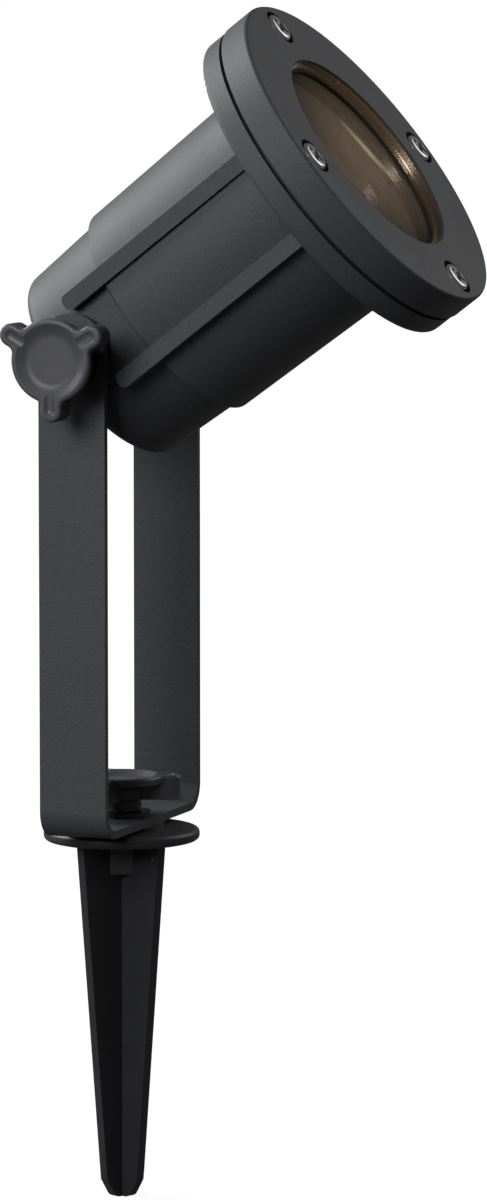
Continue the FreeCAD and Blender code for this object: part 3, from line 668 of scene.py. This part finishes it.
# ---- geometry node trees ---------------------------------------------------------------------
class Builder(Graph):
    """A geometry tree with named inputs, run once on an object to give a plain mesh."""

    def __init__(self, name):
        super().__init__(bpy.data.node_groups.new(name, "GeometryNodeTree"))
        self.tree.is_modifier = True
        self.values = {}
        self.start = self.node("NodeGroupInput")
        self.end = self.node("NodeGroupOutput")
        self.add_input("Geometry", "NodeSocketGeometry")
        self.tree.interface.new_socket("Geometry", in_out="OUTPUT", socket_type="NodeSocketGeometry")

    def add_input(self, name, kind, value=None):
        """A new named input as a socket. The value is the one that the tree runs with."""
        made = self.tree.interface.new_socket(name, in_out="INPUT", socket_type=kind)
        if value is not None:
            self.values[made.identifier] = value
        return self.given(name)

    def number(self, name, value):
        """A named length or factor."""
        return self.add_input(name, "NodeSocketFloat", float(value))

    def count(self, name, value):
        """A named whole number."""
        return self.add_input(name, "NodeSocketInt", int(value))

    def given(self, name):
        """A named input as a socket."""
        return Socket(self, self.start.outputs[name])

    def along_z(self, value):
        """A move along Z or a turn about it."""
        return self.out("ShaderNodeCombineXYZ", {"Z": value})

    def build(self, piece, geometry, material):
        """Ends the tree in Realize Instances and Set Material, and runs it on the piece."""
        finish = self.add_input("Material", "NodeSocketMaterial", material)
        real = self.out("GeometryNodeRealizeInstances", {"Geometry": geometry})
        whole = self.out("GeometryNodeMergeByDistance", {"Geometry": real, "Distance": MERGE_GAP})
        done = self.out("GeometryNodeSetMaterial", {"Geometry": whole, "Material": finish})
        self.tree.links.new(done.socket, self.end.inputs[0])
        run = piece.modifiers.new(self.tree.name, "NODES")
        run.node_group = self.tree
        for key, value in self.values.items():
            run[key] = value
        settle(piece)


def ring_of_copies(piece, count, radius, first, material):
    """Copies of a piece spaced round Z, at a radius, the first at an angle from X."""
    b = Builder(piece.name + "_ring")
    number = b.count("Count", count)
    reach = b.number("Radius", radius)
    start = b.number("First angle", first)
    points = b.out("GeometryNodePoints", {"Count": number})
    turn = start + b.out("GeometryNodeInputIndex") * (2 * math.pi) / number
    place = b.out("ShaderNodeCombineXYZ", {"X": reach * turn.cosine(), "Y": reach * turn.sine()})
    spread = b.out("GeometryNodeSetPosition", {"Geometry": points, "Position": place})
    copies = b.out("GeometryNodeInstanceOnPoints", {
        "Points": spread,
        "Instance": b.given("Geometry"),
        "Rotation": b.along_z(turn),
    })
    b.build(piece, copies, material)


def threaded_rod(name, low, high, pitch, depth, material):
    """A stud's core with a ridge wound round it, up Z."""
    core_radius = STUD_RADIUS - depth
    rod = object_from(lathe([(0, low), (core_radius, low), (core_radius, high), (0, high)]), name)
    b = Builder(name + "_tree")
    crest = b.number("Crest radius", STUD_RADIUS)
    cut = b.number("Thread depth", depth)
    rise = b.number("Thread pitch", pitch)
    length = b.number("Threaded length", high - low - 2 * pitch)
    foot = b.number("Thread start", low + pitch)
    middle = crest - cut
    helix = b.out("GeometryNodeCurveSpiral", {
        "Resolution": 24,
        "Rotations": length / rise,
        "Start Radius": middle,
        "End Radius": middle,
        "Height": length,
    })
    lifted = b.out("GeometryNodeTransform", {"Geometry": helix, "Translation": b.along_z(foot)})
    ridge = b.out("GeometryNodeCurvePrimitiveCircle", {"Resolution": 4, "Radius": cut})
    wound = b.out("GeometryNodeCurveToMesh", {"Curve": lifted, "Profile Curve": ridge, "Fill Caps": True})
    whole = b.node("GeometryNodeJoinGeometry")
    b.tree.links.new(b.start.outputs["Geometry"], whole.inputs[0])
    b.tree.links.new(wound.socket, whole.inputs[0])
    b.build(rod, Socket(b, whole.outputs[0]), material)
    return rod


# ---- operators: one for each piece or group of like pieces -----------------------------------
class SPOTLIGHT_OT_finishes(bpy.types.Operator):
    """Gives each CAD solid the finish of its material slot"""
    bl_idname = "spotlight.finishes"
    bl_label = "Finishes"

    def execute(self, context):
        made = finishes(context.scene.spotlight_finish)
        frame["slot_materials"] = {slot: material.name for slot, material in made.items()}
        for part in RECORD["subparts"]:
            solid = frame["nodes"][part["node"]]
            solid.data.materials.clear()
            solid.data.materials.append(made[part["material_slot"]])
        return {"FINISHED"}


class SPOTLIGHT_OT_ring_screws(bpy.types.Operator):
    """Adds the front ring's cross-head screws"""
    bl_idname = "spotlight.ring_screws"
    bl_label = "Ring screws"

    def execute(self, context):
        sizes = context.scene.spotlight_screws
        low, high, reach = extent("bezel_screws", HEAD)
        screw = ring_screw(sizes, low, high)
        carve(screw, cross_tool(sizes, high))
        shade(screw.data)
        circle = reach - SCREW_HEAD_RADIUS
        ring_of_copies(screw, SCREW_COUNT, circle, SCREW_FIRST, finish_named("stainless"))
        seat(screw, HEAD, "head", "stainless", "bezel_screws")
        return {"FINISHED"}


def ring_screw(sizes, low, high):
    """A screw with a crowned head, up Z, without its cross."""
    edge = SCREW_HEAD_RADIUS - sizes.crown
    crown = arc_points((edge, high - sizes.crown), sizes.crown, 0, 90, steps=8)
    seat_at = high - SCREW_HEAD_HEIGHT
    shank = [(0, low), (SCREW_SHANK_RADIUS, low), (SCREW_SHANK_RADIUS, seat_at)]
    return object_from(lathe([*shank, (SCREW_HEAD_RADIUS, seat_at), *crown, (0, high)]), "ring_screws")


def cross_tool(sizes, top):
    """A tapering cross that is cut out of a screw's head."""
    bm = bmesh.new()
    rows = []
    for height, share in ((top - sizes.recess_depth, CROSS_TAPER), (top + CUT_MARGIN, 1.0)):
        reach = sizes.recess_reach * share
        half = sizes.recess_width / 2 * share
        arm = [(reach, -half), (reach, half), (half, half)]
        turns = [Matrix.Rotation(math.radians(turn), 2) for turn in (0, 90, 180, 270)]
        corners = [turn @ Vector(corner) for turn in turns for corner in arm]
        rows.append([bm.verts.new((c.x, c.y, height)) for c in corners])
    low, high = rows
    bm.faces.new(low[::-1])
    bm.faces.new(high)
    for i in range(len(low)):
        j = (i + 1) % len(low)
        bm.faces.new([low[i], low[j], high[j], high[i]])
    bmesh.ops.rotate(bm, verts=bm.verts, matrix=Matrix.Rotation(sizes.recess_turn, 3, "Z"))
    bmesh.ops.recalc_face_normals(bm, faces=bm.faces)
    return object_from(bm, "cross")


class SPOTLIGHT_OT_reflector(bpy.types.Operator):
    """Adds the lamp's faceted bowl"""
    bl_idname = "spotlight.reflector"
    bl_label = "Faceted bowl"

    def execute(self, context):
        sizes = context.scene.spotlight_lamp
        low, high, rim = extent("lamp_reflector", HEAD)
        petal = bowl_petal(sizes, low, high, rim)
        ring_of_copies(petal, sizes.facet_columns, 0.0, 0.0, finish_named("reflector_coating"))
        seat(petal, HEAD, "head", "reflector_coating", "lamp_reflector")
        return {"FINISHED"}


def bowl_outline(sizes, low, high, rim):
    """(radius, height) points round the bowl's wall: up the facets' rows, over the rim, down outside."""
    outer = rim - BOWL_LIP
    shoulder = high - BOWL_COLLAR

    def height(radius, offset):
        share = ((radius + offset) ** 2 - BOWL_NECK ** 2) / (outer ** 2 - BOWL_NECK ** 2)
        return low + max(0.0, share) * (shoulder - low)

    inside = []
    for i in range(sizes.facet_rows + 1):
        radius = BOWL_NECK - BOWL_WALL + (outer - BOWL_NECK) * i / sizes.facet_rows
        inside.append((radius, low if i == 0 else height(radius, BOWL_WALL)))
    outside = [(outer, shoulder)]
    for i in range(1, BOWL_OUTER_ROWS + 1):
        radius = outer + (BOWL_NECK - outer) * i / BOWL_OUTER_ROWS
        outside.append((radius, height(radius, 0.0)))
    return inside + [(outer - BOWL_WALL, high), (rim, high), (rim, shoulder)] + outside


def bowl_petal(sizes, low, high, rim):
    """One column of the bowl: facets inside, rim, and plain glass outside."""
    outline = bowl_outline(sizes, low, high, rim)
    half = math.pi / sizes.facet_columns
    bm = bmesh.new()

    def edge(turn):
        return [bm.verts.new((r * math.cos(turn), r * math.sin(turn), z)) for r, z in outline]

    left = edge(-half)
    right = edge(half)
    closed = list(range(len(outline))) + [0]
    for i, (a, b) in enumerate(zip(closed, closed[1:])):
        corners = [left[a], right[a], right[b], left[b]]
        if i >= sizes.facet_rows:
            bm.faces.new(corners)
            continue
        middle = sum((v.co for v in corners), Vector()) / 4
        inward = Vector((-middle.x, -middle.y, 0)).normalized() + UP
        peak = bm.verts.new(middle + inward.normalized() * sizes.facet_swell)
        for first, second in zip(corners, corners[1:] + corners[:1]):
            bm.faces.new([first, second, peak])
    bm.normal_update()
    return object_from(bm, "lamp_bowl", FACET_ANGLE)


class SPOTLIGHT_OT_threads(bpy.types.Operator):
    """Adds the threads of the two tilt knobs' studs"""
    bl_idname = "spotlight.threads"
    bl_label = "Threads"

    def execute(self, context):
        sizes = context.scene.spotlight_screws
        steel = finish_named("stainless")
        for name, side in (("near", -1), ("far", 1)):
            place = side_frame(side)
            low, high, _ = extent(name + "_stud", place)
            rod = threaded_rod(
                name + "_stud_thread", low, high - STUD_HEAD, sizes.thread_pitch, sizes.thread_depth, steel,
            )
            seat(rod, place, name + "_knob", "stainless", name + "_stud")
        return {"FINISHED"}


class SPOTLIGHT_OT_mould_marks(bpy.types.Operator):
    """Adds the round marks of the mould's ejector pins on the blades, and the bead on a rib"""
    bl_idname = "spotlight.mould_marks"
    bl_label = "Mould marks"

    def execute(self, context):
        sizes = context.scene.spotlight_moulding
        add_ejector_marks(sizes)
        add_rib_bead(sizes)
        return {"FINISHED"}


def add_ejector_marks(sizes):
    """A low round mark on one side of each blade."""
    top = BLADE_HALF + sizes.mark_height
    edge_radius = sizes.mark_radius * MARK_CHAMFER[0]
    edge_height = BLADE_HALF + sizes.mark_height * MARK_CHAMFER[1]
    profile = [(0, 0), (sizes.mark_radius, 0), (sizes.mark_radius, edge_height), (edge_radius, top), (0, top)]
    disc = lathe(profile, steps=24)
    place = Matrix.Translation((sizes.mark_reach, 0, -sizes.mark_drop))
    upright = Matrix.Rotation(math.radians(90), 4, "X")
    bmesh.ops.transform(disc, matrix=place @ upright, verts=disc.verts)
    marks = object_from(disc, "spike_ejector_marks")
    ring_of_copies(marks, BLADE_COUNT, 0.0, BLADE_TURN, finish_named("spike_plastic"))
    seat(marks, Matrix.Identity(4), "spike", "spike_plastic")


def add_rib_bead(sizes):
    """A ball at the front end of one rib of the housing."""
    ball = lathe(arc_points((0, 0), sizes.bead_radius, -90, 90, steps=10), steps=20)
    bead = object_from(ball, "housing_rib_bead")
    bead.data.materials.append(finish_named("cast_coating"))
    seat(bead, HEAD @ Matrix.Translation(sizes.bead_place), "head", "cast_coating")


# ---- floor, lights and camera ----------------------------------------------------------------
FLOOR_SIZE = 12.0
FLOOR_WHITE = 1.06          # strength of the floor's white, so that it clips
PICTURE_HEIGHT = 36.0       # millimetres, for the lens's focal length
SOFTBOX_DISTANCE = 1.4
SOFTBOXES = (
    ("left softbox", "left_strength", -96, 28, 0.9),
    ("front softbox", "front_strength", -12, 24, 0.7),
    ("right softbox", "right_strength", 140, 30, 0.9),
)
"""Name, property of its power, azimuth and elevation in degrees, and size of each light."""


def seen_directly(surface, in_mirrors):
    """1 for rays from the camera and through glass, in_mirrors off shiny surfaces, 0 for plain light."""
    paths = surface.node("ShaderNodeLightPath")
    names = ("Is Camera Ray", "Is Glossy Ray", "Is Transmission Ray")
    camera, glossy, through = (Socket(surface, paths.outputs[name]) for name in names)
    return (camera + glossy * in_mirrors + through).clamped()


def pale_floor(studio):
    """A plain floor that the camera sees as nearly white, with the object's shadow kept."""
    s = Surface("Pale floor")
    camera = s.out("ShaderNodeLightPath", output="Is Camera Ray")
    away = s.out("ShaderNodeVectorMath", {0: s.place()}, 1, operation="LENGTH")
    near = (1.0 - away / studio.floor_reach).clamped()
    lit = s.out("ShaderNodeBsdfDiffuse", {"Color": s.mix(camera, studio.floor_colour, (1.0, 1.0, 1.0))})
    glow = s.out("ShaderNodeEmission", {"Color": (1, 1, 1, 1), "Strength": FLOOR_WHITE})
    share = seen_directly(s, studio.floor_mirror) * (1.0 - near * (1.0 - studio.floor_glow))
    return s.finish(s.node("ShaderNodeMixShader", {0: share, 1: lit, 2: glow}))


def add_floor(studio):
    """A plain floor under the spike's tip."""
    bm = bmesh.new()
    bmesh.ops.create_grid(bm, x_segments=1, y_segments=1, size=FLOOR_SIZE)
    bmesh.ops.translate(bm, verts=bm.verts, vec=(0, 0, CAD_BOX[0].z))
    floor = object_from(bm, "floor")
    floor.data.materials.append(pale_floor(studio))


def add_room(studio):
    """A world that looks white and lights the object evenly."""
    world = bpy.data.worlds.new("White room")
    world.use_nodes = True
    g = Graph(world.node_tree)
    world.node_tree.nodes.clear()
    level = seen_directly(g, studio.sky_mirror) * (1.0 - studio.sky_strength) + studio.sky_strength
    sky = g.out("ShaderNodeBackground", {"Color": (1, 1, 1, 1), "Strength": level})
    g.node("ShaderNodeOutputWorld", {"Surface": sky})
    bpy.context.scene.world = world


def way_to(azimuth, elevation):
    """A unit vector, from radians. Azimuth 0 is on the near side, and a quarter turn is in front."""
    level = math.cos(elevation)
    return Vector((math.sin(azimuth) * level, -math.cos(azimuth) * level, math.sin(elevation)))


def facing(target, away, distance):
    """The place of a light or a camera that looks back at the target from a distance."""
    return Matrix.Translation(target + away * distance) @ away.to_track_quat("Z", "Y").to_matrix().to_4x4()


def add_softbox(studio, name, strength, azimuth, elevation, size):
    """A square area light that faces the camera's target; angles in degrees."""
    lamp = bpy.data.lights.new(name, "AREA")
    lamp.energy = getattr(studio, strength)
    lamp.size = size
    box = linked(name, lamp)
    away = way_to(math.radians(azimuth), math.radians(elevation))
    box.matrix_world = facing(Vector(studio.target), away, SOFTBOX_DISTANCE)


def add_camera(studio):
    """The camera of the photograph."""
    lens = bpy.data.cameras.new("camera")
    lens.sensor_width = PICTURE_HEIGHT
    lens.lens = studio.lens
    camera = linked("camera", lens)
    camera.matrix_world = facing(Vector(studio.target), way_to(studio.azimuth, studio.pitch), studio.distance)
    bpy.context.scene.camera = camera


class SPOTLIGHT_OT_studio(bpy.types.Operator):
    """Sets up the floor, the lights and the camera"""
    bl_idname = "spotlight.studio"
    bl_label = "Studio"

    def execute(self, context):
        studio = context.scene.spotlight_studio
        add_floor(studio)
        add_room(studio)
        for softbox in SOFTBOXES:
            add_softbox(studio, *softbox)
        add_camera(studio)
        context.scene.view_settings.view_transform = "Standard"
        return {"FINISHED"}


# ---- panel and add-on ------------------------------------------------------------------------
class SPOTLIGHT_PT_panel(bpy.types.Panel):
    """Lists the spotlight's sizes, colours and pieces"""
    bl_idname = "SPOTLIGHT_PT_panel"
    bl_label = "Spotlight"
    bl_space_type = "VIEW_3D"
    bl_region_type = "UI"
    bl_category = "Spotlight"

    def draw(self, context):
        for name, group in GROUPS.items():
            box = self.layout.box()
            for key in group.__annotations__:
                box.prop(getattr(context.scene, name), key)
        for operator in OPERATORS:
            self.layout.operator(operator.bl_idname)


GROUPS = {
    "spotlight_finish": SpotlightFinish,
    "spotlight_screws": SpotlightScrews,
    "spotlight_lamp": SpotlightLamp,
    "spotlight_moulding": SpotlightMoulding,
    "spotlight_studio": SpotlightStudio,
}
OPERATORS = [
    SPOTLIGHT_OT_finishes,
    SPOTLIGHT_OT_ring_screws,
    SPOTLIGHT_OT_reflector,
    SPOTLIGHT_OT_threads,
    SPOTLIGHT_OT_mould_marks,
    SPOTLIGHT_OT_studio,
]


def register():
    """Adds the spotlight's properties, operators and panel."""
    for name, group in GROUPS.items():
        bpy.utils.register_class(group)
        setattr(bpy.types.Scene, name, PointerProperty(type=group))
    for operator in OPERATORS:
        bpy.utils.register_class(operator)
    bpy.utils.register_class(SPOTLIGHT_PT_panel)


def unregister():
    """Removes them again."""
    bpy.utils.unregister_class(SPOTLIGHT_PT_panel)
    for operator in reversed(OPERATORS):
        bpy.utils.unregister_class(operator)
    for name, group in GROUPS.items():
        delattr(bpy.types.Scene, name)
        bpy.utils.unregister_class(group)


def main():
    """Makes every piece."""
    register()
    for operator in OPERATORS:
        group, name = operator.bl_idname.split(".")
        getattr(getattr(bpy.ops, group), name)()


if __name__ == "__main__":
    main()
